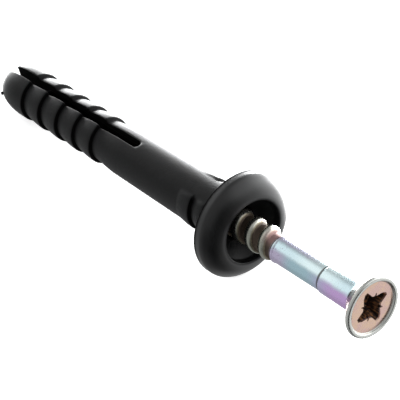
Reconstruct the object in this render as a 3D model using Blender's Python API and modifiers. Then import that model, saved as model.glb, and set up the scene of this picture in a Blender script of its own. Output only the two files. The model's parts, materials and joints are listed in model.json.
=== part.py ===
"""Hammer fixing plug for an 8 mm hole: a slotted nylon sleeve and the hammer screw standing in it.

The plug is drawn along its own axis. Local +Z points out of the wall, towards the screw's head,
and z = 0 is the front of the sleeve's collar. The sleeve's slot lies in the local XZ plane. An
empty then lays the whole plug down as it comes to rest on a table: on the collar's rim and on a
leg's barbs, rolled a little about its own axis from the slot standing upright.
"""
from math import atan, cos, pi, radians, sin, sqrt, tau

import bmesh
import bpy
from mathutils import Matrix, Vector

MM = 0.001

# Sleeve: body and legs. The body narrows a little from the collar to the waist above the barbs.
SLEEVE_LENGTH = 60.0 * MM
BODY_RADIUS = 4.0 * MM
WAIST_TAPER = 0.18 * MM
SLOT_LENGTH = 34.4 * MM
SLOT_WIDTH = 1.3 * MM
SLOT_END_ROUNDING = 0.64 * MM

# Sleeve: the turned barbs on the legs, counted from the tip. The swells are measured from the body.
BARB_COUNT = 5
BARB_PITCH = 4.55 * MM
FIRST_BARB = 6.9 * MM
FIRST_BARB_SWELL = 0.12 * MM
LAST_BARB_SWELL = -0.05 * MM
BARB_DEPTH = 0.55 * MM
BARB_STEP = 0.3 * MM
BARB_EDGE = 0.14 * MM

# Sleeve: the rounded nose.
NOSE_LENGTH = 5.4 * MM
NOSE_END_RADIUS = 2.6 * MM

# Sleeve: the two short barbs behind the collar, which stop at a plain field on both slot sides.
GRIP_COUNT = 2
GRIP_PITCH = 2.95 * MM
GRIP_SETBACK = 3.45 * MM
GRIP_SWELL = 0.27 * MM
GRIP_DEPTH = 0.59 * MM
GRIP_FIELD = radians(35.0)
GRIP_FADE = radians(12.0)

# Sleeve: the collar.
COLLAR_RADIUS = 8.3 * MM
COLLAR_THICKNESS = 3.7 * MM
COLLAR_BAND = 1.0 * MM
COLLAR_EDGE = 0.4 * MM
COLLAR_BULGE = 0.22 * MM
RIM_EDGE = 0.3 * MM
NECK_FILLET = 0.4 * MM

# Sleeve: the recess that takes the screw's head.
HEAD_CLEARANCE = 0.25 * MM
RECESS_WALL = 1.2 * MM

# Screw: head with a cross recess.
HEAD_RADIUS = 4.75 * MM
HEAD_BAND = 0.3 * MM
HEAD_EDGE = 0.35 * MM
HEAD_DISH = 0.15 * MM
HEAD_LIP = 0.3 * MM
CROSS_REACH = 2.9 * MM
CROSS_FLOOR_REACH = 1.5 * MM
CROSS_WIDTH = 1.25 * MM
CROSS_DEPTH = 2.4 * MM
CROSS_CORE_RADIUS = 1.7 * MM
CROSS_CORE_DEPTH = 3.0 * MM
CROSS_CORE_TIP = 0.5 * MM
CROSS_TURN = radians(22.0)

# Screw: shank, measured inwards from the thread's crest. The upper shank is a little thicker and
# starts at a thin groove, and a shoulder closes the lower shank where the thread begins.
THREAD_CREST = 2.5 * MM
UPPER_SHANK_LENGTH = 9.4 * MM
UPPER_SHANK_RELIEF = 0.25 * MM
NECK_FLARE = 0.08 * MM
GROOVE_WIDTH = 0.25 * MM
GROOVE_DEPTH = 0.12 * MM
SHANK_LENGTH = 10.1 * MM
SHANK_RELIEF = 0.45 * MM
SHOULDER_LENGTH = 0.4 * MM
SHOULDER_RELIEF = 0.35 * MM
SHOULDER_EDGE = 0.2 * MM

# Screw: thread and point. The ridge has a rounded crest and wide feet sunk into the core. It
# fades to a share of its height at the shoulder and ends part of the way down the point.
THREAD_DEPTH = 0.65 * MM
THREAD_PITCH = 3.0 * MM
THREAD_RUNOUT = 1.5 * MM
RUNOUT_END_SHARE = 0.3
CREST_HALF_WIDTH = 0.24 * MM
FLANK_HALF_WIDTH = 0.63 * MM
FLANK_DROP = 0.2 * MM
FOOT_HALF_WIDTH = 1.11 * MM
FOOT_SINK = 0.32 * MM
POINT_LENGTH = 5.0 * MM
BARE_POINT_LENGTH = 1.5 * MM

# Fit of the screw in the sleeve: running in the bore, driven home, and standing ready.
RUNNING_CLEARANCE = 0.25 * MM
SEAT_GAP = 0.3 * MM
POINT_TO_TIP = 5.0 * MM
HEAD_STANDS_OUT = 25.3 * MM

# How far the lying plug has rolled about its own axis from the slot standing upright.
LYING_ROLL = radians(15.0)

# Facets of the turned shapes. The sleeve's first flat is centred on the slot's plane.
SLEEVE_SEGMENTS = 36
SCREW_SEGMENTS = 20
BARB_RAMP_STEPS = 3
ARC_STEPS = 3
DOME_STEPS = 5
WELD = 0.001 * MM
OVERSHOOT = 2.0 * MM

# Sizes that follow from the ones above.
TIP_Z = -SLEEVE_LENGTH
SLOT_END_Z = TIP_Z + SLOT_LENGTH
SEAT_Z = -COLLAR_THICKNESS
WAIST_RADIUS = BODY_RADIUS - WAIST_TAPER
GRIP_RADIUS = BODY_RADIUS + GRIP_SWELL
GRIP_ROOT = GRIP_RADIUS - GRIP_DEPTH
BORE_RADIUS = THREAD_CREST + RUNNING_CLEARANCE
THREAD_ROOT = THREAD_CREST - THREAD_DEPTH
SHANK_RADIUS = THREAD_CREST - SHANK_RELIEF
UPPER_SHANK_RADIUS = THREAD_CREST - UPPER_SHANK_RELIEF
SHOULDER_RADIUS = THREAD_CREST - SHOULDER_RELIEF
RECESS_RADIUS = HEAD_RADIUS + HEAD_CLEARANCE
RECESS_DEPTH = RECESS_WALL + RECESS_RADIUS - BORE_RADIUS
HEAD_RIM = HEAD_EDGE + HEAD_BAND
DRIVEN_HEAD_Z = SEAT_GAP * sqrt(2.0) - (RECESS_RADIUS + RECESS_WALL - HEAD_RADIUS - HEAD_RIM)
DRIVEN_POINT_Z = TIP_Z + POINT_TO_TIP
SCREW_LENGTH = DRIVEN_HEAD_Z - DRIVEN_POINT_Z


def clear_scene():
    """Removes every object that the file opens with."""
    for obj in list(bpy.data.objects):
        bpy.data.objects.remove(obj, do_unlink=True)


def new_collection(name):
    """Adds a collection to the scene."""
    collection = bpy.data.collections.new(name)
    bpy.context.scene.collection.children.link(collection)
    return collection


def link_mesh(name, mesh, collection):
    """Puts a mesh in the scene as an object of the given name."""
    obj = bpy.data.objects.new(name, mesh)
    collection.objects.link(obj)
    return obj


def mesh_from_bmesh(name, bm):
    """Turns a bmesh into a mesh with its faces pointing outwards."""
    bmesh.ops.recalc_face_normals(bm, faces=bm.faces)
    mesh = bpy.data.meshes.new(name)
    bm.to_mesh(mesh)
    bm.free()
    return mesh


def arc(centre_r, centre_z, radius, start, end, steps=ARC_STEPS):
    """Points of an arc in the (radius, z) half plane; angles run from the outward direction."""
    points = []
    for step in range(steps + 1):
        angle = radians(start + (end - start) * step / steps)
        points.append((centre_r + radius * cos(angle), centre_z + radius * sin(angle)))
    return points


def turned(name, profile, segments, collection, start=0.0):
    """A solid of revolution about Z from (radius, z) points that run down its outer side."""
    mesh = bpy.data.meshes.new(name)
    vertices = [(r * cos(start), r * sin(start), z) for r, z in profile]
    edges = [(i, i + 1) for i in range(len(profile) - 1)]
    mesh.from_pydata(vertices, edges, [])
    obj = link_mesh(name, mesh, collection)
    screw = obj.modifiers.new("turn", "SCREW")
    screw.axis = "Z"
    screw.angle = tau
    screw.steps = segments
    screw.render_steps = segments
    screw.use_merge_vertices = True
    screw.merge_threshold = WELD
    return obj


def applied(obj):
    """Replaces an object's mesh by what its modifiers make of it."""
    depsgraph = bpy.context.evaluated_depsgraph_get()
    mesh = bpy.data.meshes.new_from_object(obj.evaluated_get(depsgraph))
    obj.modifiers.clear()
    obj.data = mesh
    return obj


def boolean(obj, operand, operation):
    """Cuts the operand out of an object, or joins it on."""
    modifier = obj.modifiers.new(operand.name, "BOOLEAN")
    modifier.operation = operation
    modifier.solver = "EXACT"
    modifier.object = operand
    operand.hide_render = True
    operand.display_type = "WIRE"
    return modifier


def shade(obj, angle=40.0):
    """Smooth shading with sharp edges kept."""
    obj.data.shade_smooth()
    obj.data.set_sharp_from_angle(angle=radians(angle))


def material(name, colour, roughness, metallic):
    """A plain Principled material."""
    made = bpy.data.materials.new(name)
    made.use_nodes = True
    shader = made.node_tree.nodes["Principled BSDF"]
    shader.inputs["Base Color"].default_value = (*colour, 1.0)
    shader.inputs["Roughness"].default_value = roughness
    shader.inputs["Metallic"].default_value = metallic
    return made


def black_nylon():
    """Charcoal moulded nylon of the sleeve."""
    return material("black_nylon", (0.028, 0.029, 0.031), 0.42, 0.0)


def passivated_steel():
    """Zinc plated and passivated steel of the screw."""
    return material("passivated_steel", (0.62, 0.64, 0.66), 0.28, 1.0)


def barb_crest_z(index):
    """Height of a leg barb's crest, counted from the tip."""
    return TIP_Z + FIRST_BARB + index * BARB_PITCH


def barb_crest_radius(index):
    """Radius of a leg barb's crest; the barbs grow slightly towards the tip."""
    share = index / max(BARB_COUNT - 1, 1)
    return BODY_RADIUS + FIRST_BARB_SWELL + (LAST_BARB_SWELL - FIRST_BARB_SWELL) * share


def grip_crest_z(index):
    """Height of a collar barb's crest, counted from the collar."""
    return SEAT_Z - GRIP_SETBACK - index * GRIP_PITCH


def ratchet_tooth(crest_z, crest_radius, root_radius, ramp_end):
    """One barb from its steep face down its long ramp, which is full near the crest."""
    ramp_radius, ramp_z = ramp_end
    top_z = crest_z - BARB_EDGE
    points = [
        (root_radius, crest_z + BARB_STEP),
        (crest_radius - BARB_EDGE, crest_z),
        (crest_radius, top_z),
    ]
    for step in range(1, BARB_RAMP_STEPS):
        share = step / BARB_RAMP_STEPS
        radius = ramp_radius + (crest_radius - ramp_radius) * (1.0 - share * share)
        points.append((radius, top_z + (ramp_z - top_z) * share))
    return points


def recess_and_bore_profile():
    """The blind bore from its inner end up to the collar's rim."""
    point_end = DRIVEN_POINT_Z - RUNNING_CLEARANCE
    point_start = DRIVEN_POINT_Z + POINT_LENGTH
    rim_centre = RECESS_RADIUS + RIM_EDGE
    profile = [
        (0.0, point_end),
        (BORE_RADIUS, point_start),
        (BORE_RADIUS, -RECESS_DEPTH),
        (RECESS_RADIUS, -RECESS_WALL),
    ]
    return profile + arc(rim_centre, -RIM_EDGE, RIM_EDGE, 180.0, 90.0)


def collar_profile():
    """The domed front, the rounded edge and the flat seat of the collar."""
    rim_r = RECESS_RADIUS + RIM_EDGE
    edge_r = COLLAR_RADIUS - COLLAR_EDGE
    band_top = SEAT_Z + COLLAR_EDGE + COLLAR_BAND
    front_edge = arc(edge_r, band_top, COLLAR_EDGE, 60.0, 0.0)
    dome_end_r, dome_end_z = front_edge[0]
    dome = []
    for step in range(1, DOME_STEPS):
        share = step / DOME_STEPS
        bulge = COLLAR_BULGE * sin(pi * share)
        dome.append((rim_r + (dome_end_r - rim_r) * share + bulge, dome_end_z * share + bulge))
    back_edge = arc(edge_r, SEAT_Z + COLLAR_EDGE, COLLAR_EDGE, 0.0, -90.0)
    fillet = arc(BODY_RADIUS + NECK_FILLET, SEAT_Z - NECK_FILLET, NECK_FILLET, 90.0, 180.0)
    return dome + front_edge + back_edge + fillet


def grip_profile():
    """The two short barbs behind the collar, down to where the plain body starts."""
    profile = []
    for index in range(GRIP_COUNT):
        crest_z = grip_crest_z(index)
        last = index == GRIP_COUNT - 1
        root_end = (GRIP_ROOT, crest_z - GRIP_PITCH + BARB_STEP)
        ramp_end = (BODY_RADIUS, crest_z - GRIP_PITCH) if last else root_end
        profile += ratchet_tooth(crest_z, GRIP_RADIUS, GRIP_ROOT, ramp_end)
    profile.append((BODY_RADIUS, grip_crest_z(GRIP_COUNT)))
    return profile


def leg_barb_profile():
    """The barbs on the legs, from the innermost one to the one next to the nose."""
    profile = [(WAIST_RADIUS, barb_crest_z(BARB_COUNT - 1) + BARB_PITCH)]
    for index in reversed(range(BARB_COUNT)):
        crest = barb_crest_radius(index)
        if index:
            ramp_end = (barb_crest_radius(index - 1) - BARB_DEPTH, barb_crest_z(index - 1) + BARB_STEP)
            profile += ratchet_tooth(barb_crest_z(index), crest, crest - BARB_DEPTH, ramp_end)
        else:
            profile += [
                (crest - BARB_DEPTH, barb_crest_z(0) + BARB_STEP),
                (crest - BARB_EDGE, barb_crest_z(0)),
                (crest, barb_crest_z(0) - BARB_EDGE),
            ]
    return profile


def nose_profile():
    """The nose: a quarter ellipse from the first barb to the flat end."""
    profile = []
    steps = 2 * ARC_STEPS
    swell = barb_crest_radius(0) - NOSE_END_RADIUS
    for step in range(steps + 1):
        angle = 0.5 * pi * step / steps
        radius = NOSE_END_RADIUS + swell * cos(angle)
        profile.append((radius, TIP_Z + NOSE_LENGTH * (1.0 - sin(angle))))
    profile.append((0.0, TIP_Z))
    return profile


def flatten_grip_fields(mesh):
    """Brings the collar barbs to the plain body radius on both sides of the slot's plane."""
    top = grip_crest_z(0) + BARB_STEP + WELD
    bottom = grip_crest_z(GRIP_COUNT) - WELD
    for vertex in mesh.vertices:
        x, y, z = vertex.co
        radius = Vector((x, y)).length
        if not bottom < z < top or radius < BORE_RADIUS + WELD:
            continue
        from_slot = atan(abs(y) / abs(x)) if abs(x) > WELD else 0.5 * pi
        share = (GRIP_FIELD + 0.5 * GRIP_FADE - from_slot) / GRIP_FADE
        share = min(max(share, 0.0), 1.0)
        factor = 1.0 + (BODY_RADIUS / radius - 1.0) * share
        vertex.co = (x * factor, y * factor, z)


def slot_cutter(collection):
    """A through slot with a round inner end, open at the tip."""
    bm = bmesh.new()
    length = SLOT_LENGTH + OVERSHOOT
    across = 2.0 * (GRIP_RADIUS + OVERSHOOT)
    place = Matrix.Translation((0.0, 0.0, SLOT_END_Z - 0.5 * length))
    size = Matrix.Diagonal((across, SLOT_WIDTH, length, 1.0))
    bmesh.ops.create_cube(bm, size=1.0, matrix=place @ size)
    inner = [e for e in bm.edges if all(v.co.z > SLOT_END_Z - WELD for v in e.verts)]
    along_x = [e for e in inner if abs(e.verts[0].co.x - e.verts[1].co.x) > SLOT_WIDTH]
    bmesh.ops.bevel(
        bm,
        geom=along_x,
        offset=SLOT_END_ROUNDING,
        affect="EDGES",
        segments=ARC_STEPS,
        profile=0.5,
        material=-1,
    )
    return link_mesh("slot_cutter", mesh_from_bmesh("slot_cutter", bm), collection)


def make_sleeve(parts, cutters):
    """The moulded sleeve with its collar, barbs, slot and bore, all one piece."""
    profile = recess_and_bore_profile() + collar_profile() + grip_profile()
    profile += leg_barb_profile() + nose_profile()
    half_flat = pi / SLEEVE_SEGMENTS
    sleeve = applied(turned("sleeve", profile, SLEEVE_SEGMENTS, parts, start=half_flat))
    flatten_grip_fields(sleeve.data)
    slot = slot_cutter(cutters)
    boolean(sleeve, slot, "DIFFERENCE")
    sleeve.data.materials.append(black_nylon())
    shade(sleeve)
    slot.parent = sleeve
    return sleeve


def screw_profile():
    """The screw's turned outline without its thread, from the head's face down to the point."""
    lip_r = HEAD_RADIUS - HEAD_EDGE
    dish_r = lip_r - HEAD_LIP
    flare = UPPER_SHANK_RADIUS + NECK_FLARE
    cone_end = -HEAD_RIM - (HEAD_RADIUS - flare)
    groove_z = -UPPER_SHANK_LENGTH
    shank_end = groove_z - SHANK_LENGTH
    shoulder_z = shank_end + SHOULDER_LENGTH
    profile = [(0.0, -HEAD_DISH), (dish_r, -HEAD_DISH)]
    profile += arc(lip_r, -HEAD_EDGE, HEAD_EDGE, 90.0, 0.0)
    profile += [
        (HEAD_RADIUS, -HEAD_RIM),
        (flare, cone_end),
        (UPPER_SHANK_RADIUS, cone_end - HEAD_RIM),
        (UPPER_SHANK_RADIUS - NECK_FLARE, groove_z + GROOVE_WIDTH),
        (SHANK_RADIUS - GROOVE_DEPTH, groove_z),
        (SHANK_RADIUS - GROOVE_DEPTH, groove_z - 0.5 * GROOVE_WIDTH),
        (SHANK_RADIUS, groove_z - GROOVE_WIDTH),
        (SHANK_RADIUS, shoulder_z + SHOULDER_LENGTH),
        (SHOULDER_RADIUS, shoulder_z),
        (SHOULDER_RADIUS, shank_end + SHOULDER_EDGE),
        (SHOULDER_RADIUS - SHOULDER_EDGE, shank_end),
        (THREAD_ROOT, shank_end - SHOULDER_EDGE),
        (THREAD_ROOT, POINT_LENGTH - SCREW_LENGTH),
        (0.0, -SCREW_LENGTH),
    ]
    return profile


def thread_ridge(collection):
    """The thread: a rounded ridge swept up a helix, sunk into the core, fading at both ends."""
    thread_top = -UPPER_SHANK_LENGTH - SHANK_LENGTH
    thread_bottom = BARE_POINT_LENGTH - SCREW_LENGTH
    turns = (thread_top - thread_bottom) / THREAD_PITCH
    steps = round(turns * SCREW_SEGMENTS)
    half_outline = [
        (THREAD_CREST, CREST_HALF_WIDTH),
        (THREAD_CREST - FLANK_DROP, FLANK_HALF_WIDTH),
        (THREAD_ROOT - FOOT_SINK, FOOT_HALF_WIDTH),
    ]
    outline = [(r, -z) for r, z in reversed(half_outline)] + half_outline
    half_step = 0.5 * tau / SCREW_SEGMENTS
    bm = bmesh.new()
    start = [
        bm.verts.new((r * cos(half_step), r * sin(half_step), z + thread_bottom)) for r, z in outline
    ]
    ring = [bm.edges.new((start[i - 1], start[i])) for i in range(len(start))]
    swept = bmesh.ops.spin(
        bm,
        geom=start + ring,
        cent=(0.0, 0.0, 0.0),
        axis=(0.0, 0.0, 1.0),
        dvec=(0.0, 0.0, THREAD_PITCH / SCREW_SEGMENTS),
        angle=tau * steps / SCREW_SEGMENTS,
        steps=steps,
    )
    last_ring = [item for item in swept["geom_last"] if isinstance(item, bmesh.types.BMEdge)]
    bmesh.ops.contextual_create(bm, geom=ring)
    bmesh.ops.contextual_create(bm, geom=last_ring)
    for vertex in bm.verts:
        fade_ridge(vertex, thread_top)
    return link_mesh("thread_ridge", mesh_from_bmesh("thread_ridge", bm), collection)


def fade_ridge(vertex, thread_top):
    """Lowers the ridge towards the shoulder and follows the point's taper."""
    radius = Vector((vertex.co.x, vertex.co.y)).length
    to_point = (vertex.co.z + SCREW_LENGTH) / POINT_LENGTH
    to_shoulder = (thread_top - vertex.co.z) / THREAD_RUNOUT
    share = min(max(to_shoulder, RUNOUT_END_SHARE), 1.0)
    wanted = min(radius, THREAD_ROOT) + max(radius - THREAD_ROOT, 0.0) * share
    factor = min(to_point, 1.0) * wanted / radius
    vertex.co.x *= factor
    vertex.co.y *= factor


def cross_wing_cutter(index, collection):
    """One of the two crossing tapered slots of the drive recess."""
    bm = bmesh.new()
    depth = CROSS_DEPTH + OVERSHOOT
    slope = (CROSS_REACH - CROSS_FLOOR_REACH) / CROSS_DEPTH
    place = Matrix.Translation((0.0, 0.0, OVERSHOOT - 0.5 * depth))
    size = Matrix.Diagonal((1.0, CROSS_WIDTH, depth, 1.0))
    bmesh.ops.create_cube(bm, size=1.0, matrix=place @ size)
    for vertex in bm.verts:
        reach = CROSS_REACH + slope * vertex.co.z
        vertex.co.x = reach if vertex.co.x > 0.0 else -reach
    turn = Matrix.Rotation(CROSS_TURN + index * 0.5 * pi, 4, "Z")
    bmesh.ops.transform(bm, matrix=turn, verts=bm.verts)
    name = f"cross_wing_{index + 1}"
    return link_mesh(name, mesh_from_bmesh(name, bm), collection)


def cross_core_cutter(collection):
    """The tapered middle of the drive recess."""
    profile = [
        (0.0, OVERSHOOT),
        (CROSS_CORE_RADIUS, OVERSHOOT),
        (CROSS_CORE_RADIUS, -HEAD_DISH),
        (0.5 * CROSS_CORE_RADIUS, CROSS_CORE_TIP - CROSS_CORE_DEPTH),
        (0.0, -CROSS_CORE_DEPTH),
    ]
    return turned("cross_core", profile, SCREW_SEGMENTS // 2, collection)


def make_screw(parts, cutters):
    """The hammer screw: turned blank, thread joined on, cross recess cut into the head."""
    screw = turned("hammer_screw", screw_profile(), SCREW_SEGMENTS, parts)
    tools = [(thread_ridge(cutters), "UNION"), (cross_core_cutter(cutters), "DIFFERENCE")]
    tools += [(cross_wing_cutter(index, cutters), "DIFFERENCE") for index in range(2)]
    for tool, operation in tools:
        boolean(screw, tool, operation)
        tool.parent = screw
    screw.data.materials.append(passivated_steel())
    shade(screw)
    screw.location.z = HEAD_STANDS_OUT
    return screw


def rest_tilt(sleeve):
    """Angle of the axis to the table when the rolled sleeve lies on its collar and its legs."""
    mesh = sleeve.evaluated_get(bpy.context.evaluated_depsgraph_get()).to_mesh()
    roll = Matrix.Rotation(LYING_ROLL, 3, "Z")
    below = [(point.x, point.z) for point in (roll @ v.co for v in mesh.vertices) if point.x > 0.0]
    collar = [(x, z) for x, z in below if z > SEAT_Z and x > COLLAR_RADIUS - 2.0 * COLLAR_EDGE]
    legs = [(x, z) for x, z in below if z < SEAT_Z - NECK_FILLET]
    slopes = []
    for leg_x, leg_z in legs:
        slopes.append(max((x - leg_x) / (z - leg_z) for x, z in collar))
    return atan(min(slopes))


def corners(objects):
    """Lowest and highest corner of the finished objects, in world space."""
    depsgraph = bpy.context.evaluated_depsgraph_get()
    points = []
    for obj in objects:
        evaluated = obj.evaluated_get(depsgraph)
        mesh = evaluated.to_mesh()
        points += [evaluated.matrix_world @ vertex.co for vertex in mesh.vertices]
        evaluated.to_mesh_clear()
    lowest = Vector([min(p[i] for p in points) for i in range(3)])
    highest = Vector([max(p[i] for p in points) for i in range(3)])
    return lowest, highest


def lay_down(objects):
    """Lays the plug, sleeve first, on the table: head towards +X, centred over the origin."""
    empty = bpy.data.objects.new("plug_axis", None)
    bpy.context.scene.collection.objects.link(empty)
    empty.rotation_mode = "ZYX"
    empty.rotation_euler = (0.0, 0.5 * pi - rest_tilt(objects[0]), LYING_ROLL)
    for obj in objects:
        obj.parent = empty
    bpy.context.view_layer.update()
    lowest, highest = corners(objects)
    middle = 0.5 * (lowest + highest)
    empty.location = (-middle.x, -middle.y, -lowest.z)
    bpy.context.view_layer.update()
    return empty


def main():
    """Builds the plug."""
    clear_scene()
    parts = new_collection("hammer_fixing_plug")
    cutters = new_collection("cutters")
    sleeve = make_sleeve(parts, cutters)
    screw = make_screw(parts, cutters)
    lay_down([sleeve, screw])


main()
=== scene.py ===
"""Dressed scene of a hammer fixing plug: a slotted nylon sleeve and a plated hammer screw.

Both pieces are drawn along the plug's own axis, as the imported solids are: local +Z points out of
the wall towards the screw's head, z = 0 is the front of the sleeve's collar and the slot lies in
the local XZ plane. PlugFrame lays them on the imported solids.
"""
from __future__ import annotations

import json
import logging
from dataclasses import dataclass
from enum import Enum
from math import asin, atan2, cos, degrees, hypot, pi, radians, sin, tau
from typing import Any, Callable, Iterable

import bmesh
import bpy
from mathutils import Matrix, Vector


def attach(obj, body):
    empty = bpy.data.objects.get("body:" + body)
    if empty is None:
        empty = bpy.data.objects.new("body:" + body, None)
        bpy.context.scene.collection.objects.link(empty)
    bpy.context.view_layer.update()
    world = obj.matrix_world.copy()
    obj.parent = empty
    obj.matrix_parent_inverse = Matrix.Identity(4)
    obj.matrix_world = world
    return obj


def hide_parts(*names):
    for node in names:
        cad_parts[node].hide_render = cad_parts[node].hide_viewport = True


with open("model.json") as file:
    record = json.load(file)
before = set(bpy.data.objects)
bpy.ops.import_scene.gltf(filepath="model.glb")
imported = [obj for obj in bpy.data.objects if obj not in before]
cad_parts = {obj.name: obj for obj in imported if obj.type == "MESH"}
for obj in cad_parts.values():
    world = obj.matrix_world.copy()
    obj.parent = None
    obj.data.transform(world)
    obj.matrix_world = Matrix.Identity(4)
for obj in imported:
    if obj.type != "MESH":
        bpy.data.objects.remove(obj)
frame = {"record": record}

MM = 0.001
LOG = logging.getLogger("hammer_fixing")

Colour = tuple[float, float, float]
Point = tuple[float, float]
Corner = tuple[float, float, float]


class Body(Enum):
    """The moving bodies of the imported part."""

    PLUG = "plug"
    SCREW = "screw"


class Slot(Enum):
    """The record's material slots."""

    NYLON = "black_nylon"
    STEEL = "passivated_steel"


@dataclass(frozen=True)
class PlugFrame:
    """The plug's own axes in the world.

    Args:
        matrix: Takes a point from the plug's frame to the world, in metres.
    """

    matrix: Matrix

    LYING_ROLL = radians(15.0)
    SEAT_POINT = Vector((0.0, 5.9 * MM, -3.7 * MM))

    @classmethod
    def from_record(cls, record: dict[str, Any]) -> PlugFrame:
        """Reads the axis from the screw's slide and the place from the collar's mount.

        Args:
            record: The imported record.

        Returns:
            The plug's frame.
        """
        slide = record["behaviour"]["joints"][0]
        seat = Vector(record["mounts"][0]["pos_m"])
        out = -Vector(slide["axis"]).normalized()
        level = Vector((0.0, 0.0, 1.0)).cross(out).normalized()
        down = level.cross(out)
        axes = Matrix((down, level, out)).transposed()
        turn = axes @ Matrix.Rotation(cls.LYING_ROLL, 3, "Z")
        place = seat - turn @ cls.SEAT_POINT
        return cls(Matrix.Translation(place) @ turn.to_4x4())

    @property
    def origin(self) -> Vector:
        """Centre of the collar's front in the world."""
        return self.matrix.to_translation()

    @property
    def euler(self) -> tuple[float, float, float]:
        """The frame's turn as XYZ angles."""
        return tuple(self.matrix.to_euler("XYZ"))


class Outline:
    """A turned outline in the (radius, z) half plane, built from corners with a rounding each."""

    def __init__(self, steps: int = 4) -> None:
        """Starts an empty outline.

        Args:
            steps: Points that round off each corner.
        """
        self.steps = steps
        self.corners: list[Corner] = []

    def add(self, radius: float, z: float, rounding: float = 0.0) -> Outline:
        """Adds a corner in metres and returns the outline, so that calls chain."""
        self.corners.append((radius, z, rounding))
        return self

    def extend(self, corners: Iterable[Corner]) -> Outline:
        """Adds several corners and returns the outline."""
        self.corners.extend(corners)
        return self

    def points(self) -> list[Point]:
        """Rounds the corners.

        Returns:
            The outline's points, each corner with a rounding replaced by a short curve.
        """
        last = len(self.corners) - 1
        points: list[Point] = []
        for index, (radius, z, rounding) in enumerate(self.corners):
            if rounding <= 0.0 or index in (0, last):
                points.append((radius, z))
                continue
            here = Vector((radius, z))
            before = Vector(self.corners[index - 1][:2]) - here
            after = Vector(self.corners[index + 1][:2]) - here
            reach = min(rounding, 0.48 * before.length, 0.48 * after.length)
            start = here + before.normalized() * reach
            end = here + after.normalized() * reach
            for step in range(self.steps + 1):
                share = step / self.steps
                bend = start.lerp(here, share).lerp(here.lerp(end, share), share)
                points.append((bend.x, bend.y))
        return points


class Workshop:
    """Shaping steps that both pieces share."""

    @staticmethod
    def turn(points: list[Point], steps: int, start: float = 0.0) -> bmesh.types.BMesh:
        """Spins an outline about the plug's axis into a closed solid.

        Args:
            points: Outline from the axis round to the axis again.
            steps: Facets round the axis.
            start: Angle of the first column.

        Returns:
            The turned solid.
        """
        bm = bmesh.new()
        column = [bm.verts.new((r * cos(start), r * sin(start), z)) for r, z in points]
        edges = [bm.edges.new(pair) for pair in zip(column, column[1:])]
        bmesh.ops.spin(
            bm,
            geom=column + edges,
            cent=(0.0, 0.0, 0.0),
            axis=(0.0, 0.0, 1.0),
            angle=tau,
            steps=steps,
            use_merge=True,
        )
        bmesh.ops.remove_doubles(bm, verts=bm.verts, dist=0.0005 * MM)
        bmesh.ops.recalc_face_normals(bm, faces=bm.faces)
        return bm

    @staticmethod
    def add_row(bm: bmesh.types.BMesh, point: Corner, normal: Corner) -> None:
        """Cuts a row of edges into a shape along a plane."""
        geometry = bm.verts[:] + bm.edges[:] + bm.faces[:]
        bmesh.ops.bisect_plane(bm, geom=geometry, dist=1e-7, plane_co=point, plane_no=normal)

    @staticmethod
    def piece(name: str, bm: bmesh.types.BMesh) -> bpy.types.Object:
        """Puts a shape in the scene as an object at the origin, and frees the bmesh."""
        mesh = bpy.data.meshes.new(name)
        bm.to_mesh(mesh)
        bm.free()
        made = bpy.data.objects.new(name, mesh)
        bpy.context.scene.collection.objects.link(made)
        return made

    @staticmethod
    def cut(
        piece: bpy.types.Object,
        tools: list[bpy.types.Object],
        added: tuple[bpy.types.Object, ...] = (),
    ) -> bmesh.types.BMesh:
        """Joins shapes to a piece, cuts tools out of it, and takes them all off the scene.

        Args:
            piece: The solid.
            tools: Closed shapes to cut out.
            added: Closed shapes to join to it first.

        Returns:
            The solid that is left.
        """
        for tool in [*added, *tools]:
            cut = piece.modifiers.new(tool.name, "BOOLEAN")
            cut.operation = "UNION" if tool in added else "DIFFERENCE"
            cut.solver = "EXACT"
            cut.object = tool
        bpy.context.view_layer.update()
        depsgraph = bpy.context.evaluated_depsgraph_get()
        evaluated = piece.evaluated_get(depsgraph)
        bm = bmesh.new()
        bm.from_mesh(evaluated.to_mesh())
        evaluated.to_mesh_clear()
        for gone in [piece, *tools, *added]:
            mesh = gone.data
            bpy.data.objects.remove(gone, do_unlink=True)
            bpy.data.meshes.remove(mesh)
        return bm

    @staticmethod
    def finish(
        name: str,
        bm: bmesh.types.BMesh,
        place: Matrix,
        finish: bpy.types.Material,
        sharp: float = 32.0,
    ) -> bpy.types.Object:
        """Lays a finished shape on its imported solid, shades it and gives it its material.

        Args:
            name: The piece's name.
            bm: The shape in the plug's frame.
            place: The plug's frame in the world.
            finish: The material.
            sharp: Angle in degrees past which an edge stays sharp.

        Returns:
            The piece, with its object at the origin.
        """
        bmesh.ops.transform(bm, matrix=place, verts=bm.verts)
        made = Workshop.piece(name, bm)
        made.data.shade_smooth()
        made.data.set_sharp_from_angle(angle=radians(sharp))
        made.data.materials.append(finish)
        return made


def sum_node(operation: str, swapped: bool = False) -> Callable[[Value, Value | float], Value]:
    """An arithmetic method for Value.

    Args:
        operation: The Math node's operation.
        swapped: Whether the other number comes first.

    Returns:
        The method, which adds a Math node on both numbers.
    """

    def method(self: Value, other: Value | float) -> Value:
        """The operation on this number and another."""
        pair = (other, self) if swapped else (self, other)
        return self.shader.math(operation, *pair)

    return method


class Value:
    """A number inside a shader. Arithmetic on it adds the Math nodes."""

    def __init__(self, shader: Shader, socket: bpy.types.NodeSocket) -> None:
        """Wraps an output socket of the shader's tree."""
        self.shader = shader
        self.socket = socket

    def __abs__(self) -> Value:
        """Size without its sign."""
        return self.shader.math("ABSOLUTE", self)

    __add__, __radd__ = sum_node("ADD"), sum_node("ADD", swapped=True)
    __sub__, __rsub__ = sum_node("SUBTRACT"), sum_node("SUBTRACT", swapped=True)
    __mul__, __rmul__ = sum_node("MULTIPLY"), sum_node("MULTIPLY", swapped=True)
    __truediv__, __pow__ = sum_node("DIVIDE"), sum_node("POWER")


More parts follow.
